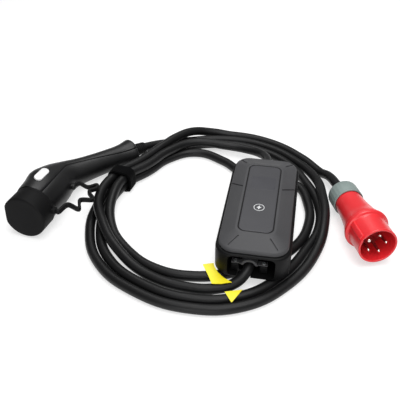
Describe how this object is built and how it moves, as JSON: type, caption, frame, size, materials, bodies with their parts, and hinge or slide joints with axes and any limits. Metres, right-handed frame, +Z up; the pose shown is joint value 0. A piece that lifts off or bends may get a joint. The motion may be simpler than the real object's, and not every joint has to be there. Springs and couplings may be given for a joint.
{
  "type": "portable ev charger",
  "caption": "Portable car charging set: capped vehicle connector, faceted in-cable control box, red five-pole plug and tied cable coil",
  "frame": {"origin": "on the floor, under the middle of the connector and the control box together", "axes": "+X from the connector towards the plug, +Y away from the viewer, +Z up"},
  "size_m": [0.5616, 0.4358, 0.0704],
  "materials": {
    "shell_black": "fine textured",
    "screw_steel": "bright zinc",
    "badge_white": "satin white",
    "contact_brass": "turned",
    "rubber_black": "matte",
    "base_black": "satin black",
    "lid_grey": "fine textured",
    "panel_grey": "smooth foil",
    "window_glass": "tinted",
    "board_green": "solder mask",
    "component_dark": "moulded",
    "plug_red": "satin red",
    "insert_dark_red": "moulded",
    "pin_nickel": "nickel plated",
    "nut_grey": "moulded",
    "cable_black": "satin sheath",
    "tie_fabric": "hook and loop",
    "tag_yellow": "thin film"
  },
  "bodies": {
    "set": {"back_shell": "shell_black", "grip_shell": "shell_black", "shell_screws": "screw_steel", "badge": "badge_white", "contact_carrier": "shell_black", "power_contacts": "contact_brass", "pilot_contacts": "contact_brass", "connector_boot": "rubber_black", "cap_strap": "rubber_black", "box_base": "base_black", "box_lid": "lid_grey", "box_gasket": "rubber_black", "display_panel": "panel_grey", "display_window": "window_glass", "touch_ring": "badge_white", "main_board": "board_green", "board_screws": "screw_steel", "relays": "component_dark", "current_sensor": "component_dark", "power_module": "component_dark", "terminal_block": "component_dark", "lid_screws": "screw_steel", "lug_screws": "screw_steel", "rear_boot": "rubber_black", "front_boot": "rubber_black", "plug_sleeve": "plug_red", "plug_insert": "insert_dark_red", "live_pins": "pin_nickel", "earth_pin": "pin_nickel", "plug_housing": "plug_red", "plug_nut": "nut_grey", "plug_seal": "rubber_black", "charge_cable": "cable_black", "supply_cable": "cable_black", "cable_tie": "tie_fabric", "cable_tags": "tag_yellow"},
    "cap": {"dust_cap": "rubber_black"}
  },
  "joints": [
    {"name": "cap_pull", "type": "slide", "parent": "set", "child": "cap", "axis": [-0.3, -0.9515, 0.0689], "range_m": [0, 0.045]}
  ]
}
